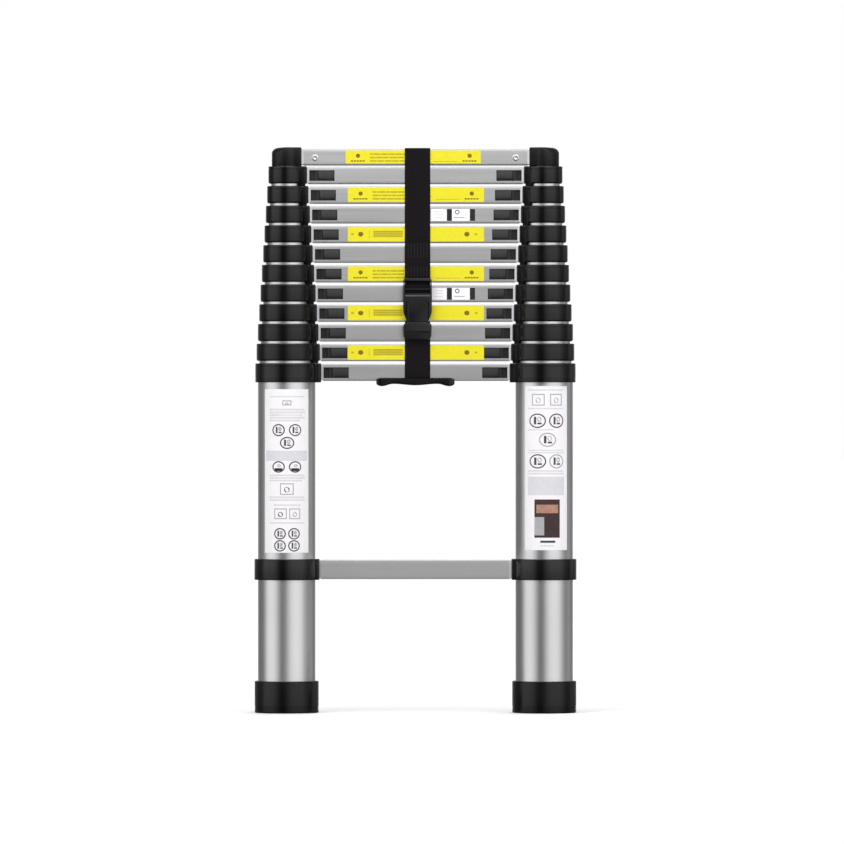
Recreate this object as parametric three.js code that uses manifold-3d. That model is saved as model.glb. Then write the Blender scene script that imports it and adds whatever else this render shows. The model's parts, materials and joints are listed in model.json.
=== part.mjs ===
// Telescoping ladder, folded up and standing on its feet.
//
// Twelve sections nest inside one another. Each section is a pair of round tubes with a collar at
// their tops and a hollow rung between the collars. The rung of a section carries two thumb slides,
// which free the section above it. Millimetres, +Z up, front at -Y, and the origin on the floor
// midway between the feet.
import * as THREE from 'three';
import { mergeVertices } from 'three/addons/utils/BufferGeometryUtils.js';
import Module from 'manifold-3d';

const wasm = await Module();
wasm.setup();

// Driving dimensions of the ladder
const SECTIONS = 12;
const STILE_HALF_SPACING = 197.5; // middle of the ladder to the axis of each stile
const FIRST_RUNG_Z = 521.3; // middle of the lowest rung of the folded stack
const CLOSED_PITCH = 30.2; // rung to rung, folded
const OPEN_PITCH = 300; // rung to rung, pulled out
const TUBE_SIDES = 24;

// Tubes
const BASE_TUBE_RADIUS = 43.9;
const TUBE_WALL = 1.5;
const TUBE_RADIUS_STEP = 2.02; // wall and running clearance together
const BASE_TUBE_BOTTOM = 8.3;
const TUBE_TOP = 10.6; // above the middle of the section's own rung
const OPEN_OVERLAP = 65; // what stays inside the tube below, pulled out
const LOCK_HOLE_RADIUS = 4.5;

// Collars, measured from the middle of the section's own rung
const COLLAR_WALL = 4.3;
const RING_BOTTOM = -12.6;
const COLLAR_TOP = 14;
const BASE_COLLAR_BOTTOM = -15.2;
const BASE_BLOCK_REACH = 52.9; // stile axis to the face that holds the rung
const BLOCK_REACH_STEP = 2.18;

// Rungs
const RUNG_HALF_DEPTH = 20;
const RUNG_HALF_HEIGHT = 12.8;
const RUNG_WALL = 1.6;
const RUNG_EDGE = 2; // chamfer along the four edges
const GAP = 0.3; // between separate pieces that touch
const BLOCK_BOTTOM = COLLAR_TOP + GAP - CLOSED_PITCH; // a section rests on the collar below

// Release windows and thumb slides
const WINDOW_START = 3.8; // from the collar's face
const WINDOW_LENGTH = 38.6;
const WINDOW_HALF_HEIGHT = 8.2;
const WINDOW_DROP = 0.4; // middle of the window below the middle of the rung
const BUTTON_LENGTH = 25;
const BUTTON_PROUD = 0.8;
const FLANGE_SIDE = 5; // guide flange past each end of the button
const FLANGE_DEPTH = 1.5;

// Top section
const TOP_RUNG_BELOW = 14.3; // rung faces below and above the pitch line
const TOP_RUNG_ABOVE = 9.7;
const CAP_RADIUS = 22.8; // also the reach of its square inner side
const CAP_TOP = 12.8;
const CAP_CHAMFER = 7;
const BOLT_HOLE_RADIUS = 5;
const RIVET_RADIUS = 5.3;
const RIVET_PROUD = 1.4;
const RIVET_INWARD = 43.7; // from the stile axis
const RIVET_DROP = 3.2; // below the middle of the top section's row

// Fixed lower rung and its clamp bands
const LOWER_RUNG_Z = 219.4;
const LOWER_RUNG_HALF_HEIGHT = 14.6;
const CLAMP_RADIUS = 49.5;
const CLAMP_REACH = 50.2;
const CLAMP_HALF_HEIGHT = 16;

// Feet
const FOOT_RADIUS = 49.1;
const FOOT_HEIGHT = 48.4;
const FOOT_FLOOR = 8;

// Carry strap with its buckle, and the grip it runs through
const STRAP_X = 3.2;
const STRAP_HALF_WIDTH = 19.5;
const STRAP_THICKNESS = 1.6;
const STRAP_GAP = 0.4;
const SEWN_BOTTOM = 660;
const SEWN_TOP = 721;
const BUCKLE_BOTTOM = 573;
const BUCKLE_TOP = 666;
const BUCKLE_DEPTH = 11;
const GRIP_HALF_LENGTH = 60;
const GRIP_WALL = 3;
const GRIP_TOP = 513;
const GRIP_SLOT = 2.8; // strap passage between grip and rung
const GRIP_SLOT_HALF_WIDTH = 21;

const tubeRadius = (k) => BASE_TUBE_RADIUS - TUBE_RADIUS_STEP * (k - 1);
const boreRadius = (k) => tubeRadius(k) - TUBE_WALL;
const blockReach = (k) => BASE_BLOCK_REACH - BLOCK_REACH_STEP * (k - 1);
const rungZ = (k) => FIRST_RUNG_Z + CLOSED_PITCH * (k - 1);
const windowZ = (k) => rungZ(k) - WINDOW_DROP;
const tubeBottom = (k) => (k === 1 ? BASE_TUBE_BOTTOM : rungZ(k) - OPEN_PITCH - OPEN_OVERLAP);
const twoDigits = (k) => String(k).padStart(2, '0');

const FINISHES = {
  aluminium: { color: 0xb4b4b4, roughness: 0.35, metalness: 0.9 },
  collar_plastic: { color: 0x1c1c1c, roughness: 0.45, metalness: 0 },
  button_plastic: { color: 0x34363a, roughness: 0.5, metalness: 0 },
  foot_rubber: { color: 0x131313, roughness: 0.8, metalness: 0 },
  webbing: { color: 0x1e1c23, roughness: 0.9, metalness: 0 },
};

function finish(name) {
  const material = new THREE.MeshStandardMaterial(FINISHES[name]);
  material.name = name;
  return material;
}

// Closed mesh to solid, and back
function solidOf(geometry) {
  const bare = geometry.clone();
  bare.deleteAttribute('normal');
  bare.deleteAttribute('uv');
  const merged = mergeVertices(bare);
  return new wasm.Manifold(new wasm.Mesh({
    numProp: 3,
    vertProperties: new Float32Array(merged.attributes.position.array),
    triVerts: new Uint32Array(merged.index.array),
  }));
}

function geometryOf(solid) {
  const { vertProperties, triVerts } = solid.getMesh();
  const geometry = new THREE.BufferGeometry();
  geometry.setAttribute('position', new THREE.BufferAttribute(vertProperties, 3));
  geometry.setIndex(new THREE.BufferAttribute(triVerts, 1));
  geometry.computeVertexNormals();
  return geometry;
}

function node(name, finishName, solid) {
  const mesh = new THREE.Mesh(geometryOf(solid), finish(finishName));
  mesh.name = name;
  return mesh;
}

// Basic solids
function box(x, y, z) {
  const size = [x, y, z].map(([low, high]) => Math.abs(high - low));
  const middle = [x, y, z].map(([low, high]) => (low + high) / 2);
  return solidOf(new THREE.BoxGeometry(...size).translate(...middle));
}

function upright(x, radius, [low, high], topRadius = radius) {
  const geometry = new THREE.CylinderGeometry(topRadius, radius, high - low, TUBE_SIDES);
  return solidOf(geometry.rotateX(Math.PI / 2).translate(x, 0, (low + high) / 2));
}

function crossBar([x0, x1], z, radius, sides) {
  const geometry = new THREE.CylinderGeometry(radius, radius, Math.abs(x1 - x0), sides);
  return solidOf(geometry.rotateZ(Math.PI / 2).translate((x0 + x1) / 2, 0, z));
}

// An outline in Y and Z run along X
function alongX(outline, [x0, x1]) {
  const geometry = new THREE.ExtrudeGeometry(new THREE.Shape(outline), {
    depth: x1 - x0,
    bevelEnabled: false,
  });
  const axes = [new THREE.Vector3(0, 1, 0), new THREE.Vector3(0, 0, 1), new THREE.Vector3(1, 0, 0)];
  const turn = new THREE.Matrix4().makeBasis(...axes);
  return solidOf(geometry.applyMatrix4(turn).translate(x0, 0, 0));
}

// An outline in X and Z run from the back towards the front
function alongY(outline, [y0, y1]) {
  const geometry = new THREE.ExtrudeGeometry(new THREE.Shape(outline), {
    depth: y1 - y0,
    bevelEnabled: false,
  });
  const axes = [new THREE.Vector3(1, 0, 0), new THREE.Vector3(0, 0, 1), new THREE.Vector3(0, -1, 0)];
  const turn = new THREE.Matrix4().makeBasis(...axes);
  return solidOf(geometry.applyMatrix4(turn).translate(0, y1, 0));
}

const point = (x, y) => new THREE.Vector2(x, y);

// Distance inward from a stile axis, as an X coordinate. side is -1 on the left and 1 on the right.
const inward = (side, distance) => side * (STILE_HALF_SPACING - distance);

function inwardBox(side, [d0, d1], y, z) {
  return box([inward(side, d0), inward(side, d1)].sort((a, b) => a - b), y, z);
}

// Rung: a chamfered hollow extrusion, open at both ends
function rungOutline(halfDepth, low, high, edge) {
  return [
    point(-halfDepth, low + edge),
    point(-halfDepth + edge, low),
    point(halfDepth - edge, low),
    point(halfDepth, low + edge),
    point(halfDepth, high - edge),
    point(halfDepth - edge, high),
    point(-halfDepth + edge, high),
    point(-halfDepth, high - edge),
  ];
}

function rungBar(halfLength, low, high) {
  return alongX(rungOutline(RUNG_HALF_DEPTH, low, high, RUNG_EDGE), [-halfLength, halfLength]);
}

function rungHollow(halfLength, low, high) {
  const outline = rungOutline(
    RUNG_HALF_DEPTH - RUNG_WALL, low + RUNG_WALL, high - RUNG_WALL, RUNG_EDGE - RUNG_WALL / 2);
  return alongX(outline, [-halfLength, halfLength]);
}

function rung(k) {
  const halfLength = STILE_HALF_SPACING - blockReach(k) - GAP;
  const [low, high] = [rungZ(k) - RUNG_HALF_HEIGHT, rungZ(k) + RUNG_HALF_HEIGHT];
  let solid = rungBar(halfLength, low, high).subtract(rungHollow(halfLength + 1, low, high));
  for (const side of [-1, 1]) {
    const start = blockReach(k) + WINDOW_START;
    solid = solid.subtract(inwardBox(
      side,
      [start, start + WINDOW_LENGTH],
      [-RUNG_HALF_DEPTH - 1, -RUNG_HALF_DEPTH + RUNG_WALL + 1],
      [windowZ(k) - WINDOW_HALF_HEIGHT, windowZ(k) + WINDOW_HALF_HEIGHT],
    ));
  }
  return solid;
}

// Carry grip: a moulded tray under the lowest rung, with a passage for the strap
function gripUnderside(x) {
  const ripple = (from, to, t) => from + (to - from) * (0.5 - 0.5 * Math.cos(Math.PI * t));
  const distance = Math.abs(x);
  return distance < 34 ? ripple(501.7, 503.9, distance / 34) : ripple(503.9, 500.3, (distance - 34) / 18);
}

function gripOutline() {
  const [end, shoulder, steps] = [GRIP_HALF_LENGTH, 52, 26];
  const outline = [point(-end, 504)];
  for (let i = 0; i <= steps; i += 1) {
    const x = -shoulder + (2 * shoulder * i) / steps;
    outline.push(point(x, gripUnderside(x)));
  }
  outline.push(point(end, 504), point(end, GRIP_TOP), point(-end, GRIP_TOP));
  return outline;
}

function carryGrip() {
  const under = rungZ(1) - RUNG_HALF_HEIGHT;
  const outside = RUNG_HALF_DEPTH + GRIP_SLOT;
  const slot = [STRAP_X - GRIP_SLOT_HALF_WIDTH, STRAP_X + GRIP_SLOT_HALF_WIDTH];
  const envelope = rungBar(GRIP_HALF_LENGTH + 1, under, rungZ(1) + RUNG_HALF_HEIGHT);
  return alongY(gripOutline(), [-outside - GRIP_WALL, outside + GRIP_WALL])
    .subtract(envelope)
    .subtract(box(slot, [-outside, outside], [under - GRIP_SLOT, GRIP_TOP + 1]));
}

// Stile: the section's tube with the collar pressed onto its top
function lockHole(k, side) {
  const z = rungZ(k - 1) - (OPEN_PITCH - CLOSED_PITCH);
  return crossBar([inward(side, 0), inward(side, tubeRadius(k) + 5)], z, LOCK_HOLE_RADIUS, 8);
}

function stile(k, side) {
  const x = inward(side, 0);
  const z = rungZ(k);
  const ringBottom = k === 1 ? BASE_COLLAR_BOTTOM : RING_BOTTOM;
  const blockBottom = k === 1 ? BASE_COLLAR_BOTTOM : BLOCK_BOTTOM;
  const top = z + COLLAR_TOP;
  let solid = upright(x, tubeRadius(k), [tubeBottom(k), z + TUBE_TOP])
    .add(upright(x, tubeRadius(k) + COLLAR_WALL, [z + ringBottom, top]))
    .add(inwardBox(
      side, [0, blockReach(k)], [-RUNG_HALF_DEPTH, RUNG_HALF_DEPTH], [z + blockBottom, top]))
    .subtract(upright(x, boreRadius(k), [tubeBottom(k) - 1, top + 1]));
  if (k > 1) solid = solid.subtract(lockHole(k, side));
  return solid;
}

// Thumb slide: the button in the window and the guide flange behind the rung's front wall
function releaseSlide(k, side) {
  const windowEnd = blockReach(k) + WINDOW_START + WINDOW_LENGTH;
  const button = [windowEnd - GAP - BUTTON_LENGTH, windowEnd - GAP];
  const behind = -RUNG_HALF_DEPTH + RUNG_WALL + GAP;
  const buttonHalf = WINDOW_HALF_HEIGHT - GAP;
  const flangeHalf = RUNG_HALF_HEIGHT - RUNG_WALL - 1;
  return inwardBox(
    side,
    button,
    [-RUNG_HALF_DEPTH - BUTTON_PROUD, behind + FLANGE_DEPTH],
    [windowZ(k) - buttonHalf, windowZ(k) + buttonHalf],
  ).add(inwardBox(
    side,
    [button[0] - FLANGE_SIDE, button[1] + FLANGE_SIDE],
    [behind, behind + FLANGE_DEPTH],
    [rungZ(k) - flangeHalf, rungZ(k) + flangeHalf],
  ));
}

// Top section: both innermost tubes, their caps and the top rung
function capOn(side) {
  const x = inward(side, 0);
  const z = rungZ(SECTIONS);
  const shoulder = z + CAP_TOP - CAP_CHAMFER;
  return upright(x, CAP_RADIUS, [z + BLOCK_BOTTOM, shoulder])
    .add(upright(x, CAP_RADIUS, [shoulder, z + CAP_TOP], CAP_RADIUS - CAP_CHAMFER))
    .add(inwardBox(
      side, [0, CAP_RADIUS], [-RUNG_HALF_DEPTH, RUNG_HALF_DEPTH], [z + BLOCK_BOTTOM, z + CAP_TOP]));
}

function rivetPair(side) {
  const reach = RUNG_HALF_DEPTH + RIVET_PROUD;
  const geometry = new THREE.CylinderGeometry(RIVET_RADIUS, RIVET_RADIUS, 2 * reach, 12);
  return solidOf(geometry.translate(inward(side, RIVET_INWARD), 0, rungZ(SECTIONS) - RIVET_DROP));
}

function topSection() {
  const z = rungZ(SECTIONS);
  const [low, high] = [z - TOP_RUNG_BELOW, z + TOP_RUNG_ABOVE];
  const tubeEnd = z + CAP_TOP - CAP_CHAMFER; // inside the cap, below its chamfer
  const halfLength = STILE_HALF_SPACING - CAP_RADIUS;
  let solid = rungBar(halfLength + 1, low, high);
  for (const side of [-1, 1]) {
    const x = inward(side, 0);
    solid = solid.add(capOn(side)).add(rivetPair(side))
      .add(upright(x, tubeRadius(SECTIONS), [tubeBottom(SECTIONS), tubeEnd]));
  }
  solid = solid.subtract(rungHollow(halfLength, low, high));
  for (const side of [-1, 1]) {
    const x = inward(side, 0);
    solid = solid
      .subtract(upright(x, boreRadius(SECTIONS), [tubeBottom(SECTIONS) - 1, tubeEnd - 2]))
      .subtract(crossBar([x, inward(side, CAP_RADIUS + 1)], z, BOLT_HOLE_RADIUS, 8))
      .subtract(lockHole(SECTIONS, side));
  }
  return solid;
}

// Fixed lower rung with a clamp band round each bottom tube
function lowerRung() {
  const [low, high] = [LOWER_RUNG_Z - LOWER_RUNG_HALF_HEIGHT, LOWER_RUNG_Z + LOWER_RUNG_HALF_HEIGHT];
  const clampZ = [LOWER_RUNG_Z - CLAMP_HALF_HEIGHT, LOWER_RUNG_Z + CLAMP_HALF_HEIGHT];
  const halfLength = STILE_HALF_SPACING - CLAMP_REACH;
  let solid = rungBar(halfLength + 1, low, high);
  for (const side of [-1, 1]) {
    solid = solid
      .add(upright(inward(side, 0), CLAMP_RADIUS, clampZ))
      .add(inwardBox(side, [0, CLAMP_REACH], [-RUNG_HALF_DEPTH, RUNG_HALF_DEPTH], clampZ));
  }
  solid = solid.subtract(rungHollow(halfLength, low, high));
  for (const side of [-1, 1]) {
    const x = inward(side, 0);
    solid = solid
      .subtract(upright(x, BASE_TUBE_RADIUS + GAP, [clampZ[0] - 1, clampZ[1] + 1]))
      .subtract(crossBar([x, inward(side, CLAMP_REACH + 1)], LOWER_RUNG_Z, BOLT_HOLE_RADIUS, 8));
  }
  return solid;
}

function foot(side) {
  const x = inward(side, 0);
  return upright(x, FOOT_RADIUS, [0, FOOT_HEIGHT])
    .subtract(upright(x, BASE_TUBE_RADIUS + GAP, [FOOT_FLOOR, FOOT_HEIGHT + 1]));
}

// Carry strap: a webbing loop round the folded stack, with its sewn end and side-release buckle
function buckleOutline() {
  const half = [
    point(19, BUCKLE_BOTTOM),
    point(21, BUCKLE_BOTTOM + 3),
    point(21, BUCKLE_BOTTOM + 14),
    point(18, BUCKLE_BOTTOM + 20),
    point(21, BUCKLE_BOTTOM + 26),
    point(22, BUCKLE_BOTTOM + 36),
    point(22, BUCKLE_TOP - 5),
    point(19, BUCKLE_TOP),
  ];
  const right = half.map((p) => point(STRAP_X + p.x, p.y));
  const left = half.map((p) => point(STRAP_X - p.x, p.y)).reverse();
  return [...right, ...left];
}

function strap() {
  const topRung = rungZ(SECTIONS) + TOP_RUNG_ABOVE + STRAP_GAP;
  const under = rungZ(1) - RUNG_HALF_HEIGHT - STRAP_GAP;
  const inner = RUNG_HALF_DEPTH + STRAP_GAP;
  const outer = inner + STRAP_THICKNESS;
  const width = [STRAP_X - STRAP_HALF_WIDTH, STRAP_X + STRAP_HALF_WIDTH];
  return box(width, [-outer, outer], [under - STRAP_THICKNESS, topRung + STRAP_THICKNESS])
    .subtract(box([width[0] - 1, width[1] + 1], [-inner, inner], [under, topRung]))
    .add(box(width, [-outer - STRAP_THICKNESS, -inner], [SEWN_BOTTOM, SEWN_TOP]))
    .add(alongY(buckleOutline(), [-outer - BUCKLE_DEPTH, -inner - STRAP_THICKNESS / 2]));
}

const SIDES = { left: -1, right: 1 };

function buildLadder() {
  const ladder = new THREE.Group();
  for (let k = 1; k < SECTIONS; k += 1) {
    const label = twoDigits(k);
    const bar = k === 1 ? rung(k).add(carryGrip()) : rung(k);
    ladder.add(node(`rung_${label}`, 'aluminium', bar));
    for (const [name, side] of Object.entries(SIDES)) {
      ladder.add(node(`stile_${label}_${name}`, 'aluminium', stile(k, side)));
      ladder.add(node(`release_slide_${label}_${name}`, 'button_plastic', releaseSlide(k, side)));
    }
  }
  ladder.add(node('top_section', 'aluminium', topSection()));
  ladder.add(node('lower_rung', 'aluminium', lowerRung()));
  for (const [name, side] of Object.entries(SIDES)) {
    ladder.add(node(`foot_${name}`, 'foot_rubber', foot(side)));
  }
  ladder.add(node('strap', 'webbing', strap()));
  return ladder;
}

export default buildLadder();
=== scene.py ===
"""Telescoping ladder, folded: the looks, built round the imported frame.

Shapes are written in millimetres and turned into metres when a piece is made. Places come from the
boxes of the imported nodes. "side" is -1 on the left and 1 on the right, and "inward" is the distance from
a stile's axis towards the middle of the ladder.
"""

import json
import math

import bmesh
import bpy
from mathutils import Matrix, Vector


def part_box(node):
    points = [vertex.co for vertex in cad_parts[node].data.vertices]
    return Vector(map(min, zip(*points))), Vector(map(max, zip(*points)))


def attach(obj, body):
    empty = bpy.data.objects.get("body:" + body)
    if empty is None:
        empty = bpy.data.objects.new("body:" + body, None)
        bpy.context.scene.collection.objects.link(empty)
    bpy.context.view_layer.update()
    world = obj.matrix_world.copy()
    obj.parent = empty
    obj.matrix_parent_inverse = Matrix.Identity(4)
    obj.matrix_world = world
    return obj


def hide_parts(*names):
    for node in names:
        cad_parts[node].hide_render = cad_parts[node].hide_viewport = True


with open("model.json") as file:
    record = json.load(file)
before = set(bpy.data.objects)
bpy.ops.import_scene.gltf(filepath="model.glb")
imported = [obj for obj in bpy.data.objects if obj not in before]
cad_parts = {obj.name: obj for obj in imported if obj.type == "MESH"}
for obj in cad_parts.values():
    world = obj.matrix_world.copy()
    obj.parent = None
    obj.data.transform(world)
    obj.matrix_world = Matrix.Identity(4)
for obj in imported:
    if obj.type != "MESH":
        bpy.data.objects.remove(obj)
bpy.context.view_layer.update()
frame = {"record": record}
BODIES = frame["record"]["behaviour"]["bodies"]
BODY_OF = {node: body for body, nodes in BODIES.items() for node in nodes}

MM = 0.001
SECTIONS = 12
SIDES = {"left": -1, "right": 1}
FULL_TURN = 2 * math.pi

# Collars and tubes
COLLAR_WALL = 4.3
COLLAR_TOP = 14.0
RING_BOTTOM = -12.6
BLOCK_BOTTOM = -15.9
BASE_COLLAR_BOTTOM = -15.2
TUBE_TOP = 10.6
CAPPED_TUBE_TOP = 5.8
TUBE_WALL = 1.5
TUBE_STEP = 2.02
LOCK_HOLE_RADIUS = 4.5
OPEN_TRAVEL = 269.8
SOCKET_HALF_DEPTH = 20.0

# Rungs and thumb slides
RUNG_HALF_DEPTH = 20.0
RUNG_HALF_HEIGHT = 12.8
RUNG_WALL = 1.6
RUNG_CORNER = 1.1
RUNG_GAP = 0.3
WINDOW_START = 3.8
WINDOW_LENGTH = 38.6
WINDOW_HALF_HEIGHT = 8.2
WINDOW_DROP = 0.4
TOP_RUNG_BELOW = 14.3
TOP_RUNG_ABOVE = 9.7
BUTTON_LENGTH = 25.0
BUTTON_PROUD = 0.8
RIVET_INWARD = 43.7
RIVET_DROP = 3.2


# ---- materials


def add_node(tree, kind, inputs, **settings):
    """A new shader node. An input is given a constant, or a socket to link."""
    node = tree.nodes.new(f"ShaderNode{kind}")
    for key, value in settings.items():
        setattr(node, key, value)
    for key, value in inputs.items():
        if isinstance(value, bpy.types.NodeSocket):
            tree.links.new(value, node.inputs[key])
        else:
            node.inputs[key].default_value = value
    return node


class Finish:
    """A node material under construction, with the handful of node patterns that the finishes share."""

    def __init__(self, name, colour, roughness, metallic=0.0):
        self.material = bpy.data.materials.new(name)
        self.material.use_nodes = True
        self.tree = self.material.node_tree
        self.shader = self.tree.nodes["Principled BSDF"].inputs
        self.shader["Base Color"].default_value = (*colour, 1)
        self.shader["Roughness"].default_value = roughness
        self.shader["Metallic"].default_value = metallic
        self.place = add_node(self.tree, "TexCoord", {}).outputs["Object"]
        self.normal = None

    def noise(self, stretch, detail=3.0):
        """Noise whose grains are 1 / stretch metres long along each axis."""
        mapping = add_node(self.tree, "Mapping", {"Scale": stretch, "Vector": self.place})
        inputs = {"Scale": 1.0, "Detail": detail, "Vector": mapping.outputs["Vector"]}
        return add_node(self.tree, "TexNoise", inputs).outputs["Fac"]

    def wave(self, direction, per_metre):
        """Sine bands along one axis."""
        inputs = {"Scale": per_metre * FULL_TURN / 20, "Vector": self.place}
        settings = {"wave_type": "BANDS", "bands_direction": direction}
        return add_node(self.tree, "TexWave", inputs, **settings).outputs["Fac"]

    def math(self, operation, first, second):
        return add_node(self.tree, "Math", {0: first, 1: second}, operation=operation).outputs[0]

    def spread(self, source, low, high):
        """Turns the middle of a noise's range into low to high."""
        inputs = {"From Min": 0.3, "From Max": 0.7, "To Min": low, "To Max": high, "Value": source}
        return add_node(self.tree, "MapRange", inputs).outputs["Result"]

    def colours(self, source, first, second):
        inputs = {"A": (*first, 1), "B": (*second, 1), "Factor": self.spread(source, 0, 1)}
        node = add_node(self.tree, "Mix", inputs, data_type="RGBA")
        self.tree.links.new(node.outputs["Result"], self.shader["Base Color"])

    def roughness(self, source, low, high):
        self.tree.links.new(self.spread(source, low, high), self.shader["Roughness"])

    def bump(self, source, depth_mm):
        inputs = {"Strength": 1.0, "Distance": depth_mm * MM, "Height": source}
        if self.normal:
            inputs["Normal"] = self.normal
        self.normal = add_node(self.tree, "Bump", inputs).outputs["Normal"]
        self.tree.links.new(self.normal, self.shader["Normal"])


def drawn_metal(name, stretch, colour, low_rough, high_rough, depth_mm):
    """Extruded aluminium: fine die lines along one direction and slow, faint clouding."""
    finish = Finish(name, colour, low_rough, 1.0)
    lines = finish.noise(stretch, 5.0)
    clouds = finish.noise((9, 9, 9), 2.0)
    darker = tuple(c * 0.93 for c in colour)
    brighter = tuple(min(1.0, c * 1.05) for c in colour)
    finish.colours(finish.math("MULTIPLY", finish.math("ADD", lines, clouds), 0.5), darker, brighter)
    finish.roughness(lines, low_rough, high_rough)
    finish.bump(lines, depth_mm)
    return finish.material


def moulded(name, colour, low_rough, high_rough, grain_mm, depth_mm, specular=0.5):
    """Moulded plastic or rubber: an eroded grain and uneven gloss."""
    finish = Finish(name, colour, low_rough)
    grain = finish.noise((1 / (grain_mm * MM),) * 3, 2.0)
    patches = finish.noise((35, 35, 35), 3.0)
    finish.colours(patches, tuple(c * 0.8 for c in colour), tuple(c * 1.3 for c in colour))
    finish.roughness(patches, low_rough, high_rough)
    finish.bump(grain, depth_mm)
    finish.shader["Specular IOR Level"].default_value = specular
    return finish.material


def webbing_cloth():
    """Flat woven webbing: ribs across it, and the yarns of a twill in each rib."""
    finish = Finish("webbing", (0.010, 0.008, 0.010), 0.8)
    twill = finish.math("MULTIPLY", finish.wave("X", 900), finish.wave("Z", 620))
    fuzz = finish.noise((2500, 2500, 2500), 2.0)
    finish.colours(fuzz, (0.0044, 0.0031, 0.0048), (0.0092, 0.0067, 0.0096))
    finish.roughness(fuzz, 0.7, 0.95)
    finish.bump(twill, 0.15)
    finish.bump(fuzz, 0.05)
    finish.shader["Specular IOR Level"].default_value = 0.12
    finish.shader["Sheen Weight"].default_value = 0.02
    finish.shader["Sheen Roughness"].default_value = 0.5
    return finish.material


def printed(name, colour, shade):
    """A printed film: even colour with slight mottling, under a satin coat."""
    finish = Finish(name, colour, 0.35)
    mottle = finish.noise((160, 160, 160), 4.0)
    finish.colours(mottle, tuple(c * shade for c in colour), colour)
    finish.roughness(mottle, 0.3, 0.42)
    finish.bump(mottle, 0.01)
    return finish.material


TUBE_METAL = drawn_metal("tube_aluminium", (1500, 1500, 4), (0.79, 0.79, 0.80), 0.30, 0.38, 0.004)
RUNG_METAL = drawn_metal("rung_aluminium", (5, 1300, 1300), (0.74, 0.74, 0.75), 0.32, 0.40, 0.006)
# The lower rung's aluminium is a lighter copy of the rung aluminium: painted light that brightens the lower
# rung beyond the others.
LOWER_RUNG_METAL_PAINTED_LIGHT = drawn_metal(
    "lower_rung_aluminium_painted_light", (5, 1300, 1300), (0.83, 0.83, 0.835), 0.32, 0.40, 0.006)
STEEL = drawn_metal("rivet_steel", (700, 700, 700), (0.8, 0.8, 0.82), 0.18, 0.28, 0.004)
BLACK = moulded("collar_plastic", (0.0012, 0.0012, 0.0012), 0.17, 0.24, 0.7, 0.004)
CAP_PLASTIC = moulded("cap_plastic", (0.0014, 0.0014, 0.0014), 0.34, 0.42, 0.7, 0.004, 0.4)
BUTTON = moulded("button_plastic", (0.009, 0.0085, 0.0085), 0.40, 0.52, 0.5, 0.02)
LINER = moulded("liner_plastic", (0.0030, 0.0030, 0.0031), 0.5, 0.6, 0.6, 0.02)
RUBBER = moulded("foot_rubber", (0.0012, 0.0012, 0.0013), 0.22, 0.30, 1.1, 0.006, 0.36)
BUCKLE = moulded("buckle_plastic", (0.0022, 0.0018, 0.0032), 0.30, 0.40, 0.6, 0.01)
# A much lighter copy of the buckle plastic: a painted highlight on the ridge across the socket.
BUCKLE_PAINTED_HIGHLIGHT = moulded("buckle_painted_highlight", (0.045, 0.043, 0.052), 0.30, 0.40, 0.6, 0.01)
WEBBING = webbing_cloth()
THREAD = moulded("stitching", (0.018, 0.016, 0.020), 0.6, 0.8, 0.3, 0.03)
YELLOW = printed("print_yellow", (0.69, 0.615, 0.008), 0.95)
OLIVE = printed("print_olive", (0.42, 0.34, 0.006), 0.9)
UMBER = printed("print_umber", (0.20, 0.13, 0.004), 0.85)
WHITE = printed("print_white", (0.78, 0.757, 0.785), 0.97)
PALE = printed("print_pale", (0.60, 0.60, 0.63), 0.94)
GREY = printed("print_grey", (0.36, 0.36, 0.38), 0.9)
DARK = printed("print_dark", (0.05, 0.05, 0.055), 0.8)
TAN = printed("print_tan", (0.42, 0.22, 0.15), 0.7)
BROWN = printed("print_brown", (0.045, 0.020, 0.022), 0.6)
INK = printed("print_black", (0.012, 0.012, 0.013), 0.8)


# ---- mesh building


def add_object(name, data):
    made = bpy.data.objects.new(name, data)
    bpy.context.scene.collection.objects.link(made)
    return made


def mesh_of(name, bm):
    """Turns a bmesh in millimetres into a mesh in metres."""
    bmesh.ops.scale(bm, vec=(MM, MM, MM), verts=bm.verts)
    bmesh.ops.recalc_face_normals(bm, faces=bm.faces)
    mesh = bpy.data.meshes.new(name)
    bm.to_mesh(mesh)
    bm.free()
    return mesh


def shade(mesh, sharp):
    mesh.shade_smooth()
    mesh.set_sharp_from_angle(angle=math.radians(sharp))


def piece(name, bm, materials, node, sharp=35):
    """Turns a bmesh in millimetres into a piece that stands for a node and rides on the node's body."""
    mesh = mesh_of(name, bm)
    shade(mesh, sharp)
    for material in materials:
        mesh.materials.append(material)
    made = add_object(name, mesh)
    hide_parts(node)
    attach(made, BODY_OF[node])
    return made


def carve(made, cutter):
    """Cuts a bmesh in millimetres out of a piece."""
    tool = add_object("cutter", mesh_of("cutter", cutter))
    modifier = made.modifiers.new("carve", "BOOLEAN")
    modifier.operation = "DIFFERENCE"
    modifier.solver = "EXACT"
    modifier.object = tool
    bpy.context.view_layer.update()
    evaluated = made.evaluated_get(bpy.context.evaluated_depsgraph_get())
    result = bpy.data.meshes.new_from_object(evaluated)
    made.modifiers.clear()
    made.data = result
    bpy.data.objects.remove(tool)
    shade(result, 35)


def band(bm, first, second):
    """Four-sided faces between two closed rows of vertices."""
    corners = zip(first, first[1:] + first[:1], second[1:] + second[:1], second)
    return [bm.faces.new(face) for face in corners]


def skin(bm, rings, wrap=False, material=0):
    """Joins loops of points, all of one length, with four-sided faces. Ends are closed, or joined if wrap."""
    rows = [[bm.verts.new(p) for p in ring] for ring in rings]
    pairs = list(zip(rows, rows[1:]))
    if wrap:
        pairs.append((rows[-1], rows[0]))
    faces = [face for first, second in pairs for face in band(bm, first, second)]
    if not wrap:
        faces += [bm.faces.new(rows[0]), bm.faces.new(rows[-1][::-1])]
    for face in faces:
        face.material_index = material


def turns(count):
    return [FULL_TURN * i / count for i in range(count)]


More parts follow.
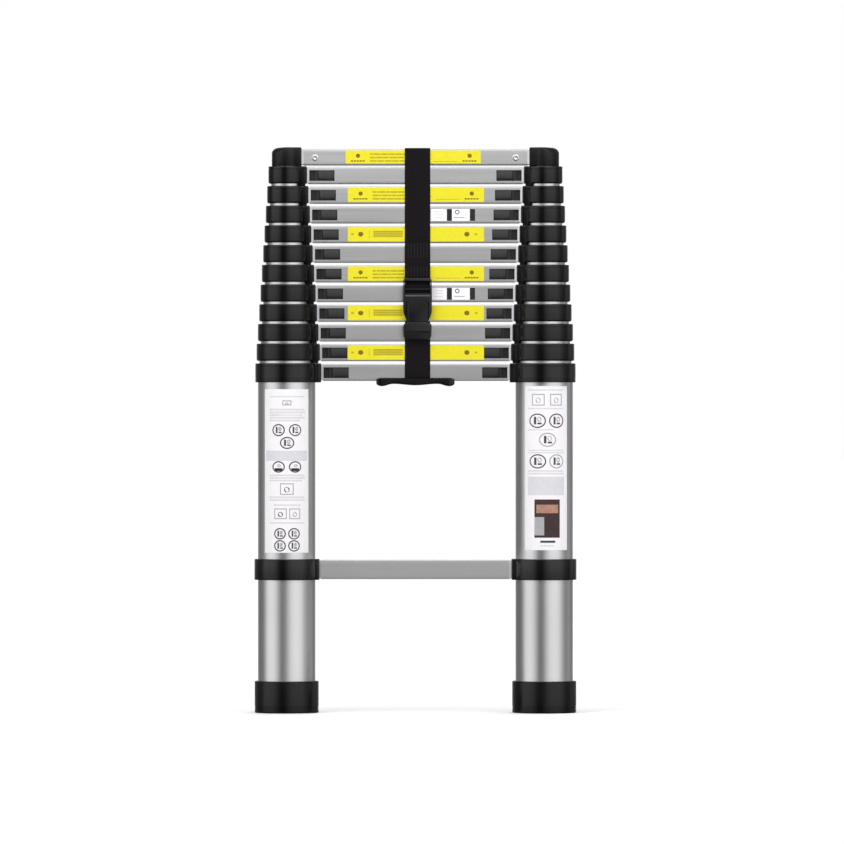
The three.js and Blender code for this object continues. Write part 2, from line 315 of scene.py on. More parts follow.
def lathe(bm, x, profile, sides, wrap=True):
    """Turns a (radius, z) profile about the upright line at x. A wrapped profile is a closed outline."""
    rings = [[(x + r * math.cos(a), r * math.sin(a), z) for a in turns(sides)] for r, z in profile]
    skin(bm, rings, wrap)


def stud(bm, centre, direction, profile, sides):
    """Turns a (radius, distance) profile about a line from centre along direction, such as a rivet."""
    axis = Vector(direction).normalized()
    across = axis.orthogonal().normalized()
    other = axis.cross(across)
    rings = []
    for radius, distance in profile:
        middle = Vector(centre) + axis * distance
        rings.append([middle + (across * math.cos(a) + other * math.sin(a)) * radius for a in turns(sides)])
    skin(bm, rings)


def quarter(width, height, steps):
    """A rounded edge as (inset, distance from the end) pairs, from the end face to the side."""
    angles = [math.pi / 2 * i / steps for i in range(steps + 1)]
    return [(width * (1 - math.sin(a)), height * (1 - math.cos(a))) for a in angles]


def box_bmesh(x, y, z):
    bm = bmesh.new()
    rings = [[(x[0], y[0], h), (x[1], y[0], h), (x[1], y[1], h), (x[0], y[1], h)] for h in z]
    skin(bm, rings)
    return bm


def outward(points):
    """A closed outline's points with their mitred outward normals."""
    area = sum(a[0] * b[1] - b[0] * a[1] for a, b in zip(points, points[1:] + points[:1]))
    turn = 1 if area > 0 else -1
    made = []
    for i, here in enumerate(points):
        before = Vector(here) - Vector(points[i - 1])
        after = Vector(points[(i + 1) % len(points)]) - Vector(here)
        first = Vector((before.y, -before.x)).normalized() * turn
        second = Vector((after.y, -after.x)).normalized() * turn
        middle = (first + second).normalized()
        made.append((here, middle / max(0.5, middle.dot(first))))
    return made


def slab(bm, outline, y_front, y_back, edge):
    """An (x, z) outline made solid from front to back, with rounded edges on both faces."""
    steps = quarter(edge, edge, 3)
    levels = [(inset, y_front + rise) for inset, rise in steps]
    levels += [(inset, y_back - rise) for inset, rise in reversed(steps)]
    corners = outward(outline)
    skin(bm, [[(p[0] - n.x * inset, y, p[1] - n.y * inset) for p, n in corners] for inset, y in levels])


def rounded_box(half_x, half_z, corner, steps=4, centre=(0, 0)):
    """A rectangle with round corners as (x, z) points."""
    points = []
    for cx, cz, start in ((1, 1, 0), (-1, 1, 90), (-1, -1, 180), (1, -1, 270)):
        for i in range(steps + 1):
            a = math.radians(start + 90 * i / steps)
            x = cx * (half_x - corner) + corner * math.cos(a)
            z = cz * (half_z - corner) + corner * math.sin(a)
            points.append((centre[0] + x, centre[1] + z))
    return points


# ---- places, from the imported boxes


def box_mm(node):
    low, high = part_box(node)
    return [c / MM for c in low], [c / MM for c in high]


def stile_sizes(k):
    low, high = box_mm(f"stile_{k:02d}_left")
    ring = high[1]
    return {
        "axis": -(low[0] + ring),
        "ring": ring,
        "reach": high[0] - low[0] - ring,
        "tube": ring - COLLAR_WALL,
        "z": high[2] - COLLAR_TOP,
        "bottom": low[2],
    }


STILES = {k: stile_sizes(k) for k in range(1, SECTIONS)}
AXIS = STILES[1]["axis"]
top_low, top_high = box_mm("top_section")
CAP_RADIUS = top_high[1]
CAP_TOP = 12.8
TOP_Z = top_high[2] - CAP_TOP
PITCH = STILES[2]["z"] - STILES[1]["z"]
STILES[SECTIONS] = {
    "axis": AXIS,
    "ring": CAP_RADIUS,
    "reach": CAP_RADIUS,
    "tube": STILES[11]["tube"] - TUBE_STEP,
    "z": TOP_Z,
    "bottom": top_low[2],
}


def inward(side, distance):
    return side * (AXIS - distance)


def stile_node(k, name):
    return "top_section" if k == SECTIONS else f"stile_{k:02d}_{name}"


# ---- tubes


def tube(k, name):
    side = SIDES[name]
    size = STILES[k]
    outer = size["tube"]
    inner = outer - TUBE_WALL
    low = size["bottom"]
    high = size["z"] + (CAPPED_TUBE_TOP if k == SECTIONS else TUBE_TOP)
    lip = 0.3
    hole_z = size["z"] - PITCH - OPEN_TRAVEL
    steps = [hole_z - 7, hole_z + 7] if k > 1 else [low + 60]
    outside = [(outer - lip, low), (outer, low + lip), *[(outer, z) for z in steps]]
    outside += [(outer, high - lip), (outer - lip, high)]
    inside = [(inner + lip, high), (inner, high - lip), *[(inner, z) for z in reversed(steps)]]
    inside += [(inner, low + lip), (inner + lip, low)]
    bm = bmesh.new()
    lathe(bm, inward(side, 0), outside + inside, 96)
    node = stile_node(k, name)
    made = piece(f"tube_{k:02d}_{name}", bm, [TUBE_METAL], node)
    if k > 1:
        cutter = bmesh.new()
        reach = outer + 3
        drill = [(LOCK_HOLE_RADIUS, 5), (LOCK_HOLE_RADIUS, reach)]
        stud(cutter, (inward(side, 0), 0, hole_z), (-side, 0, 0), drill, 32)
        carve(made, cutter)


# ---- collars, caps and clamps


def socket_outline(ring, reach, corner=2.5, steps=76):
    """A ring with a square socket block towards the middle of the ladder, as (inward, depth) points,
    each with its outward normal and whether it is on the block."""
    start = math.asin(SOCKET_HALF_DEPTH / ring)
    points = []
    for i in range(steps + 1):
        a = start + (FULL_TURN - 2 * start) * i / steps
        points.append((ring * math.cos(a), ring * math.sin(a), math.cos(a), math.sin(a), False))
    begin = ring * math.cos(start) + 0.4
    straight = [begin + (reach - corner - begin) * i / 3 for i in range(3)]
    points += [(u, -SOCKET_HALF_DEPTH, 0, -1, True) for u in straight]
    for direction in (-1, 1):
        first = -90 if direction < 0 else 0
        for i in range(5):
            a = math.radians(first + 90 * i / 4)
            u = reach - corner + corner * math.cos(a)
            v = direction * (SOCKET_HALF_DEPTH - corner) + corner * math.sin(a)
            points.append((u, v, math.cos(a), math.sin(a), True))
        if direction < 0:
            face = SOCKET_HALF_DEPTH - corner
            points += [(reach, -face + 2 * face * i / 8, 1, 0, True) for i in range(1, 8)]
    points += [(u, SOCKET_HALF_DEPTH, 0, 1, True) for u in reversed(straight)]
    return points


def offset_ring(side, outline, ring_level, block_level):
    """One loop round a socket outline. A level is (inset along the ladder, inset across it, z)."""
    made = []
    for u, v, nu, nv, on_block in outline:
        inset_u, inset_v, z = block_level if on_block else ring_level
        made.append((inward(side, u - nu * inset_u), v - nv * inset_v, z))
    return made


def bore_ring(side, outline, radius, ring_z, block_z):
    made = []
    for u, v, _nu, _nv, on_block in outline:
        a = math.atan2(v, u)
        z = block_z if on_block else ring_z
        made.append((inward(side, radius * math.cos(a)), radius * math.sin(a), z))
    return made


def collar(k, name):
    side = SIDES[name]
    size = STILES[k]
    z = size["z"]
    outline = socket_outline(size["ring"], size["reach"])
    if k == 1:
        low = z + BASE_COLLAR_BOTTOM
        ring_low = [(i, i, low + r) for i, r in quarter(1.4, 1.4, 4)]
        block_low = ring_low
    else:
        low = z + RING_BOTTOM
        ring_low = [(i, i, low + r) for i, r in quarter(3.0, 3.0, 4)]
        under = z + BLOCK_BOTTOM
        block_low = [
            (3.4, 1.6, under), (2.8, 1.0, under + 0.7), (2.8, 1.0, low - 0.3), (0.6, 0.4, low + 0.6),
            (0, 0, low + 1.6),
        ]
    upper = []
    for middle in (z - 9.5, z + 9.8) if k == 1 else (z + 9.8,):
        upper += [(i, i, middle + rise) for i, rise in ((0, -0.6), (0.35, -0.3), (0.35, 0.3), (0, 0.6))]
    upper += [(i, i, z + COLLAR_TOP - r) for i, r in reversed(quarter(1.2, 1.4, 4))]
    rings = [offset_ring(side, outline, a, b) for a, b in zip(ring_low, block_low)]
    rings += [offset_ring(side, outline, a, a) for a in upper]
    lip = size["tube"] - TUBE_WALL
    seat = size["tube"] + 0.05
    ring_z, block_z = ring_low[0][2], block_low[0][2]
    for radius, height in ((lip + 0.7, COLLAR_TOP), (lip, COLLAR_TOP - 0.7), (lip, TUBE_TOP + 0.05)):
        rings.append(bore_ring(side, outline, radius, z + height, z + height))
    rings.append(bore_ring(side, outline, seat, z + TUBE_TOP + 0.05, z + TUBE_TOP + 0.05))
    rings.append(bore_ring(side, outline, seat, ring_z, block_z))
    bm = bmesh.new()
    skin(bm, rings, wrap=True)
    piece(f"collar_{k:02d}_{name}", bm, [BLACK], stile_node(k, name))


CAP_OUTER_WIDTH = 12.5
CAP_OUTER_FALL = 9.0
CAP_INNER_EDGE = 1.8


def cap(name):
    """The closed end cap on an innermost tube, well rounded on its outer side."""
    side = SIDES[name]
    z = TOP_Z
    outline = socket_outline(CAP_RADIUS, CAP_RADIUS)
    low = z + BLOCK_BOTTOM
    rings = []
    for inset, rise in quarter(0.8, 0.8, 2):
        rings.append(offset_ring(side, outline, (inset, inset, low + rise), (inset, inset, low + rise)))
    for inset_share, fall_share in reversed(quarter(1, 1, 10)):
        loop = []
        for u, v, nu, nv, _on_block in outline:
            t = min(1.0, max(0.0, (u + 14) / 18))
            blend = t * t * (3 - 2 * t)
            inset = (CAP_OUTER_WIDTH + (CAP_INNER_EDGE - CAP_OUTER_WIDTH) * blend) * inset_share
            fall = (CAP_OUTER_FALL + (CAP_INNER_EDGE - CAP_OUTER_FALL) * blend) * fall_share
            loop.append((inward(side, u - nu * inset), v - nv * inset, z + CAP_TOP - fall))
        rings.append(loop)
    bm = bmesh.new()
    skin(bm, rings)
    made = piece(f"end_cap_{name}", bm, [CAP_PLASTIC], "top_section")
    bore = bmesh.new()
    fit = STILES[SECTIONS]["tube"] + 0.05
    lathe(bore, inward(side, 0), [(fit, low - 2), (fit, z + CAPPED_TUBE_TOP)], 96, wrap=False)
    carve(made, bore)


lower_low, lower_high = box_mm("lower_rung")
LOWER_Z = (lower_low[2] + lower_high[2]) / 2
CLAMP_HALF_HEIGHT = (lower_high[2] - lower_low[2]) / 2
CLAMP_RADIUS = lower_high[1]
CLAMP_REACH = 50.2
LOWER_HALF_HEIGHT = 14.6


def clamp(name):
    side = SIDES[name]
    outline = socket_outline(CLAMP_RADIUS, CLAMP_REACH)
    low, high = LOWER_Z - CLAMP_HALF_HEIGHT, LOWER_Z + CLAMP_HALF_HEIGHT
    edge = quarter(1.3, 1.3, 3)
    levels = [(i, i, low + r) for i, r in edge] + [(i, i, high - r) for i, r in reversed(edge)]
    rings = [offset_ring(side, outline, level, level) for level in levels]
    bore = STILES[1]["tube"] + 0.3
    for radius, height in ((bore + 0.5, high), (bore, high - 0.5), (bore, low + 0.5), (bore + 0.5, low)):
        rings.append(bore_ring(side, outline, radius, height, height))
    bm = bmesh.new()
    skin(bm, rings, wrap=True)
    made = piece(f"clamp_band_{name}", bm, [BLACK], "lower_rung")
    across = sorted((inward(side, -CLAMP_RADIUS - 1), inward(side, -bore + 3)))
    carve(made, box_bmesh(across, (-0.7, 0.7), (low - 1, high + 1)))
    bolt = bmesh.new()
    head = [(4.6, 0), (4.6, 2.2), (3.8, 3.0), (2.2, 3.0), (1.9, 1.4)]
    stud(bolt, (inward(side, CLAMP_REACH - 8.5), SOCKET_HALF_DEPTH - 0.5, LOWER_Z), (0, 1, 0), head, 24)
    piece(f"clamp_bolt_{name}", bolt, [STEEL], "lower_rung")


# ---- rungs


def rung_section(low, high):
    """A rung's (y, z) outline from its window edges upwards, with normals and rib depths."""
    d, c = RUNG_HALF_DEPTH, RUNG_CORNER
    middle = (low + high) / 2 - WINDOW_DROP
    window = WINDOW_HALF_HEIGHT
    points = [(-d, middle - window, -1, 0, 0), (-d, middle + window, -1, 0, 0)]

    def corner(y, z, start):
        for i in range(7):
            a = math.radians(start - 15 * i)
            points.append((y + c * math.cos(a), z + c * math.sin(a), math.cos(a), math.sin(a), 0))

    corner(-d + c, high - c, 180)
    for i in range(12):
        start = -15.6 + 2.6 * i
        for shift, depth in ((0.5, 0), (0.85, 0.6), (1.75, 0.6), (2.1, 0)):
            points.append((start + shift, high, 0, 1, depth))
    corner(d - c, high - c, 90)
    corner(d - c, low + c, 0)
    corner(-d + c, low + c, -90)
    return points


def rung_loop(x, outline, inset, ribbed):
    shrunk = [(y, z, ny, nz, inset + rib * ribbed) for y, z, ny, nz, rib in outline]
    return [(x, y - ny * depth, z - nz * depth) for y, z, ny, nz, depth in shrunk]


def rung_bar(half_length, low, high, windows=None, swage=1.3):
    """A hollow rung with ribbed tread, pressed-in ends and, if given, a window near each end."""
    outline = rung_section(low, high)
    ends = [(half_length, swage), (half_length - 0.2, swage), (half_length - 3.2, 0)]
    if windows:
        ends += [(windows[1], 0), (windows[0], 0)]
    stations = [(-x, i) for x, i in ends] + [(x, i) for x, i in reversed(ends)]
    outside = [rung_loop(x, outline, i, 1) for x, i in stations]
    inside = [rung_loop(x, outline, RUNG_WALL, 0) for x, _ in stations]
    bm = bmesh.new()
    outer_rows = [[bm.verts.new(p) for p in loop] for loop in outside]
    inner_rows = [[bm.verts.new(p) for p in loop] for loop in inside]
    count = len(outline)
    last = len(stations) - 1
    holes = {3, last - 4} if windows else set()
    for s in range(last):
        for i in range(count):
            j = (i + 1) % count
            a, b = outer_rows[s], outer_rows[s + 1]
            p, q = inner_rows[s], inner_rows[s + 1]
            if s in holes and i == 0:
                bm.faces.new((a[i], p[i], q[i], b[i]))
                bm.faces.new((a[j], b[j], q[j], p[j]))
                bm.faces.new((a[i], a[j], p[j], p[i]))
                bm.faces.new((b[i], q[i], q[j], b[j]))
                continue
            bm.faces.new((a[i], b[i], b[j], a[j]))
            bm.faces.new((p[i], p[j], q[j], q[i]))
    for s in (0, last):
        band(bm, outer_rows[s], inner_rows[s])
    return bm


def sliding_rung(k):
    z = STILES[k]["z"]
    reach = STILES[k]["reach"]
    half_length = AXIS - reach - RUNG_GAP
    start = AXIS - reach - WINDOW_START
    bm = rung_bar(half_length, z - RUNG_HALF_HEIGHT, z + RUNG_HALF_HEIGHT, (start - WINDOW_LENGTH, start))
    piece(f"rung_bar_{k:02d}", bm, [RUNG_METAL], f"rung_{k:02d}", sharp=20)


def fixed_rungs():
    half_length = AXIS - CAP_RADIUS - 0.1
    bm = rung_bar(half_length, TOP_Z - TOP_RUNG_BELOW, TOP_Z + TOP_RUNG_ABOVE)
    piece("top_rung_bar", bm, [RUNG_METAL], "top_section", sharp=20)
    half_length = AXIS - CLAMP_REACH - 0.1
    bm = rung_bar(half_length, LOWER_Z - LOWER_HALF_HEIGHT, LOWER_Z + LOWER_HALF_HEIGHT)
    # The lower rung takes the lighter copy of the rung aluminium, which is painted light.
    piece("lower_rung_bar", bm, [LOWER_RUNG_METAL_PAINTED_LIGHT], "lower_rung", sharp=20)


def rivets():
    dome = [(5.3, -0.3), (5.3, 0.35), (5.0, 0.85), (4.2, 1.25)]
    dome += [(3.2, 1.4), (2.7, 1.3), (2.3, 0.2), (1.2, -0.1)]
    for name, side in SIDES.items():
        for face, direction in (("front", -1), ("back", 1)):
            bm = bmesh.new()
            centre = (inward(side, RIVET_INWARD), direction * RUNG_HALF_DEPTH, TOP_Z - RIVET_DROP)
            stud(bm, centre, (0, direction, 0), dome, 32)
            piece(f"rivet_{face}_{name}", bm, [STEEL], "top_section")


# ---- thumb slides and their recesses


def rectangle_loop(x, z, half_x, half_z, nx, nz, y):
    """Points round a rectangle, nx and nz to a side."""
    xs = [x - half_x + 2 * half_x * i / nx for i in range(nx)]
    zs = [z - half_z + 2 * half_z * i / nz for i in range(nz)]
    loop = [(a, y, z - half_z) for a in xs]
    loop += [(x + half_x, y, b) for b in zs]
    loop += [(2 * x - a, y, z + half_z) for a in xs]
    loop += [(x - half_x, y, 2 * z - b) for b in zs]
    return loop


def button_depth(u, v):
    """How far the thumb face lies behind its highest point, for u and v from -1 to 1."""
    if v > -0.6:
        lean = 1.9 * ((v + 0.6) / 1.6) ** 1.7
    else:
        lean = 1.7 * ((-0.6 - v) / 0.4) ** 1.5
    ends = 1.2 * max(0.0, (abs(u) - 0.93) / 0.07) ** 2
    groove = 0.3 * max(0.0, math.cos(u * 9 * math.pi)) ** 2 * (abs(u) < 0.72) * (abs(v) < 0.7)
    return min(2.6, lean + ends + groove)


def thumb_slide(k, name):
    side = SIDES[name]
    z = STILES[k]["z"]
    window_end = STILES[k]["reach"] + WINDOW_START + WINDOW_LENGTH
    near = window_end - RUNG_GAP - BUTTON_LENGTH
    half_x, half_z = BUTTON_LENGTH / 2, WINDOW_HALF_HEIGHT - RUNG_GAP
    x = inward(side, near + half_x)
    z_button = z - WINDOW_DROP
    front = -RUNG_HALF_DEPTH - BUTTON_PROUD
    behind = -RUNG_HALF_DEPTH + RUNG_WALL + RUNG_GAP
    nx, nz = 34, 12
    bm = bmesh.new()
    flange_z = RUNG_HALF_HEIGHT - RUNG_WALL - 1
    flange = [(half_x + 5, flange_z, behind + 1.5), (half_x + 5, flange_z, behind + 0.2)]
    flange.append((half_x + 4.8, flange_z - 0.2, behind))
    rings = [rectangle_loop(x, z, wide, tall, nx, nz, y) for wide, tall, y in flange]
    rings += [rectangle_loop(x, z_button, half_x, half_z, nx, nz, y) for y in (behind, front + 2.8)]
    grid = []
    for j in range(nz + 1):
        row = []
        for i in range(nx + 1):
            u, v = 2 * i / nx - 1, 2 * j / nz - 1
            y = front + 0.05 + button_depth(u, v)
            row.append(bm.verts.new((x + u * half_x, y, z_button + v * half_z)))
        grid.append(row)
    for j in range(nz):
        for i in range(nx):
            bm.faces.new((grid[j][i], grid[j][i + 1], grid[j + 1][i + 1], grid[j + 1][i]))
    rim = grid[0][:nx] + [row[nx] for row in grid[:nz]] + grid[nz][:0:-1] + [row[0] for row in grid[:0:-1]]
    rows = [[bm.verts.new(p) for p in ring] for ring in rings] + [rim]
    for first, second in zip(rows, rows[1:]):
        band(bm, first, second)
    bm.faces.new(rows[0])
    node = f"release_slide_{k:02d}_{name}"
    piece(f"thumb_slide_{k:02d}_{name}", bm, [BUTTON], node, sharp=40)


def recess_liner(k, name):
    """The black tray behind a window, in which the slide runs."""
    side = SIDES[name]
    z = STILES[k]["z"]
    start = STILES[k]["reach"] + WINDOW_START
    x = inward(side, start + WINDOW_LENGTH / 2)
    floor_y = -RUNG_HALF_DEPTH + RUNG_WALL + RUNG_GAP + 1.5 + 0.5
    bm = bmesh.new()
    outer = rounded_box(WINDOW_LENGTH / 2 + 5.5, RUNG_HALF_HEIGHT - RUNG_WALL - 0.15, 1.0, 3, (x, z))
    inner = rounded_box(WINDOW_LENGTH / 2 + 4.9, RUNG_HALF_HEIGHT - RUNG_WALL - 0.75, 0.6, 3, (x, z))
    front_y = -RUNG_HALF_DEPTH + RUNG_WALL + 0.05
    back_y = floor_y + 1.6
    rings = [[(a, back_y, b) for a, b in outer], [(a, front_y, b) for a, b in outer]]
    rings += [[(a, front_y, b) for a, b in inner], [(a, floor_y, b) for a, b in inner]]
    skin(bm, rings)
    piece(f"recess_liner_{k:02d}_{name}", bm, [LINER], f"rung_{k:02d}")


# ---- feet and grip


def foot(name):
    side = SIDES[name]
    _low, high = box_mm(f"foot_{name}")
    radius = high[1]
    height = high[2]
    bore = STILES[1]["tube"] + 0.3
    profile = [(radius - i, r) for i, r in quarter(1.4, 1.4, 3)]
    for groove in (5.5, 9.0):
        floor_radius = radius - 0.8
        profile += [(radius, groove - 0.9), (floor_radius, groove - 0.5)]
        profile += [(floor_radius, groove + 0.5), (radius, groove + 0.9)]
    profile += [(radius - i, height - r) for i, r in reversed(quarter(1.2, 1.2, 3))]
    profile += [(bore + 0.6, height), (bore, height - 0.6), (bore, 8.0), (6.0, 8.0), (6.0, 0.9), (12.0, 0.9)]
    for start in (14.0, 20.0, 26.0, 32.0, 38.0):
        profile += [(start, 0.0), (start + 3.6, 0.0), (start + 4.0, 1.5), (start + 5.6, 1.5)]
    bm = bmesh.new()
    lathe(bm, inward(side, 0), profile, 96)
    piece(f"rubber_foot_{name}", bm, [RUBBER], f"foot_{name}")


GRIP_HALF_LENGTH = 60.0
GRIP_HALF_DEPTH = 25.8
GRIP_TOP = 513.0
STRAP_X = 3.2


def ease(t):
    return 0.5 - 0.5 * math.cos(math.pi * t)


def grip_underside(x):
    distance = abs(x)
    if distance < 34:
        return 501.7 + 2.2 * ease(distance / 34)
    return 503.9 - 3.6 * ease(min(1.0, (distance - 34) / 18))


def grip():
    """The moulded carry grip: a trough under the lowest rung with a passage for the strap."""
    under = STILES[1]["z"] - RUNG_HALF_HEIGHT - 0.15
    slot = 2.8
    steps = 60
    bm = bmesh.new()
    rings = []
    for i in range(steps + 1):
        x = -GRIP_HALF_LENGTH + 2 * GRIP_HALF_LENGTH * ease(i / steps)
        nose = max(0.0, (abs(x) - (GRIP_HALF_LENGTH - 9)) / 9)
        round_off = 1 - math.sqrt(max(0.0, 1 - nose * nose))
        low = grip_underside(x) + 4.5 * round_off
        depth = GRIP_HALF_DEPTH - 3.0 * round_off
        top = GRIP_TOP - 3.0 * round_off
        beside = abs(x - STRAP_X) > 21
        wall = RUNG_HALF_DEPTH + (0.15 if beside else slot)
        floor = under if beside else under - slot
        corner = 2.6
        half = [(wall, floor), (wall, top - 0.5), (wall + 0.5, top), (depth - 1.0, top), (depth, top - 1.0)]
        for j in range(5):
            a = math.pi / 2 * j / 4
            half.append((depth - corner + corner * math.cos(a), low + corner - corner * math.sin(a)))
        half.append((depth * 0.5, low))
        rings.append([(x, y, z) for y, z in half] + [(x, -y, z) for y, z in reversed(half)])
    skin(bm, rings)
    piece("carry_grip", bm, [BLACK], "rung_01")


# ---- strap


STRAP_HALF_WIDTH = 19.5
STRAP_THICKNESS = 1.6


def fillet_path(corners, radius, steps=6):
    """A polyline with each inner corner rounded, as evenly useful (y, z) points."""
    made = [Vector(corners[0])]
    for before, here, after in zip(corners, corners[1:], corners[2:]):
        here = Vector(here)
        first = Vector(before) - here
        second = Vector(after) - here
        reach = min(radius, first.length * 0.45, second.length * 0.45)
        start = here + first.normalized() * reach
        end = here + second.normalized() * reach
        for i in range(steps + 1):
            t = i / steps
            made.append(start * (1 - t) ** 2 + here * 2 * t * (1 - t) + end * t ** 2)
    made.append(Vector(corners[-1]))
    return made


def resample(path, step):
    """Points at an even step along a polyline."""
    made = [path[0]]
    left = step
    for a, b in zip(path, path[1:]):
        length = (b - a).length
        at = 0.0
        while length - at >= left:
            at += left
            made.append(a + (b - a) * (at / length))
            left = step
        left -= length - at
    return made


def webbing_run(bm, path, half_width, relief, step=1.15):
    """Webbing along a (y, z) path, ribbed across and with rounded selvedges."""
    line = resample(path, step)
    columns = 26
    rings = []
    for i, here in enumerate(line):
        along = (line[min(i + 1, len(line) - 1)] - line[max(i - 1, 0)]).normalized()
        normal = Vector((along.y, -along.x))
        loop = []
        for face in (1, -1):
            for c in range(columns + 1):
                u = 1 - 2 * c / columns if face < 0 else -1 + 2 * c / columns
                edge = max(0.0, (abs(u) - 0.93) / 0.07)
                half = STRAP_THICKNESS / 2 * (1 - 0.45 * edge * edge)
                weave = relief * (0.5 if (i + c) % 2 else -0.5) * (1 - edge)
                height = half - relief / 2 + weave
                point = here + normal * height * face
                loop.append((STRAP_X + u * half_width, point.x, point.y))
        rings.append(loop)
    skin(bm, rings)


def strap():
    inner = RUNG_HALF_DEPTH + 0.4 + STRAP_THICKNESS / 2
    high = TOP_Z + TOP_RUNG_ABOVE + 0.4 + STRAP_THICKNESS / 2
    low = STILES[1]["z"] - RUNG_HALF_HEIGHT - 0.4 - STRAP_THICKNESS / 2
    outer = inner + STRAP_THICKNESS + 0.1
    corners = [
        (-outer, 721), (-outer, 664), (-outer - 4.4, 652), (-outer - 4.2, 641.5), (-inner - 0.6, 641.5),
        (-inner, 656), (-inner, high), (inner, high), (inner, low), (-inner, low), (-inner, 565),
        (-inner - 1.8, 574), (-inner - 3.0, 584),
    ]
    path = fillet_path(corners, 2.6)
    bm = bmesh.new()
    webbing_run(bm, path, STRAP_HALF_WIDTH, 0.16)
    piece("strap_webbing", bm, [WEBBING], "strap", sharp=80)
    stitches = bmesh.new()
    surface = -outer - STRAP_THICKNESS / 2
    for row in range(-3, 4):
        for z0 in (672, 708):
            for i in range(7):
                centre = (STRAP_X + row * 4.8, z0 + (i - 3) * 3.2)
                outline = rounded_box(0.35, 1.25, 0.3, 2, centre)
                slab(stitches, outline, surface - 0.22, surface + 0.35, 0.12)
    piece("strap_stitching", stitches, [THREAD], "strap")


def mirrored(half):
    """A left-right symmetrical outline from its right half, about the strap's middle."""
    right = [(STRAP_X + x, z) for x, z in half]
    left = [(STRAP_X - x, z) for x, z in reversed(half)]
    return right + left


def buckle_socket():
    """The female half: a hollow body with side windows and the webbing frame above it."""
    body = [(16.6, 597.5), (16.9, 600.5), (18.7, 605), (20.9, 610), (21.9, 614.5), (22, 620),
            (22, 640), (21.6, 662), (20.4, 665), (18.4, 666)]
    bm = bmesh.new()
    slab(bm, mirrored(body), -33.0, -22.3, 2.0)
    made = piece("buckle_socket", bm, [BUCKLE], "strap", sharp=45)
    opening = (STRAP_X - 19.8, STRAP_X + 19.8)
    for low, high in ((650.0, 661.5), (642.5, 648.0)):
        carve(made, box_bmesh(opening, (-40, -15), (low, high)))
    carve(made, box_bmesh(opening, (-31.0, -15), (636, 665)))
    for side in (-1, 1):
        xs = sorted((STRAP_X + side * 16.0, STRAP_X + side * 17.6))
        carve(made, box_bmesh(xs, (-40, -27), (602, 630)))
        rim = bmesh.new()
        slab(rim, rounded_box(0.8, 13.5, 0.6, 2, (STRAP_X + side * 14.2, 612)), -33.6, -32.0, 0.55)
        name = "left" if side < 0 else "right"
        piece(f"buckle_rim_{name}", rim, [BUCKLE], "strap")
    # The ridge across the socket below its webbing frame is coloured lighter as a painted highlight.
    lip = bmesh.new()
    across = (STRAP_X - 19.0, STRAP_X + 19.0)
    ridge = [(-32.0, 637.0), (-33.7, 637.4), (-33.9, 638.2), (-32.6, 640.6), (-30.5, 641.0)]
    skin(lip, [[(x, y, z) for y, z in ridge] for x in across])
    piece("buckle_lip", lip, [BUCKLE_PAINTED_HIGHLIGHT], "strap")


def buckle_plug():
    """The male half: a shouldered base with the webbing slot, and two spring arms up in the socket."""
    base = [(17.6, 571.5), (19.4, 573), (21.2, 577), (21.6, 585),
            (21.6, 593), (20.6, 595.6), (17.2, 596.4), (15.4, 598.5)]
    bm = bmesh.new()
    slab(bm, mirrored(base), -32.4, -22.6, 1.6)
    for side in (-1, 1):
        arm = [(15.6, 594), (17.6, 594), (18.3, 606), (19.6, 614),
               (19.2, 624), (16.6, 631), (15.4, 631), (16.2, 618)]
        slab(bm, [(STRAP_X + side * x, z) for x, z in arm], -30.4, -25.4, 0.5)
    made = piece("buckle_plug", bm, [BUCKLE], "strap", sharp=45)
    carve(made, box_bmesh((STRAP_X - 18.4, STRAP_X + 18.4), (-40, -29.0), (581.8, 584.8)))


# ---- labels


FILM = 0.12
MARK = 0.05


class Label:
    """A thin printed film on a flat front or round a tube, with marks a hair above it."""

    def __init__(self, place, film):
        self.place = place
        self.bm = bmesh.new()
        self.materials = [film]

    def slot_of(self, material):
        if material not in self.materials:
            self.materials.append(material)
        return self.materials.index(material)

    def plate(self, u, v, material, lift=FILM, thickness=MARK):
        """A film patch over u and v. Marks lie on the film, whose own patch has lift 0."""
        across = max(1, math.ceil((u[1] - u[0]) / 2.0))
        us = [u[0] + (u[1] - u[0]) * i / across for i in range(across + 1)]
        loops = []
        for height in (lift, lift + thickness):
            loop = [self.place(a, v[0], height) for a in us]
            loop += [self.place(a, v[1], height) for a in reversed(us)]
            loops.append(loop)
        skin(self.bm, loops, False, self.slot_of(material))

    def oval(self, u, v, radius_u, radius_v, material, rim=0.0):
        """A filled oval mark, or a ring if rim is given."""

        def loop(shrink, height):
            ru, rv = radius_u - shrink, radius_v - shrink
            return [self.place(u + ru * math.cos(a), v + rv * math.sin(a), height) for a in turns(32)]

        loops = [loop(0, FILM), loop(0, FILM + MARK)]
        if rim:
            loops += [loop(rim, FILM + MARK), loop(rim, FILM)]
        skin(self.bm, loops, bool(rim), self.slot_of(material))

    def lines(self, u, v_top, count, pitch, material, height=1.5):
        """Rows of plain bars of uneven lengths in place of writing."""
        for i in range(count):
            v = v_top - i * pitch
            end = u[0] + (u[1] - u[0]) * (0.97, 1.0, 0.9, 0.99, 0.84)[i % 5]
            self.plate((u[0], end), (v - height, v), material)

    def done(self, name, node):
        piece(name, self.bm, self.materials, node, sharp=60)


def flat_place(z):
    return lambda u, v, height: (u, -RUNG_HALF_DEPTH - 0.02 - height, z + v)


def round_place(side, radius):
    """Places on a tube's front: u is the width along the surface from its foremost line."""
    def place(u, v, height):
        a = u / radius
        r = radius + 0.02 + height
        return (inward(side, 0) + r * math.sin(a), -r * math.cos(a), v)

    return place


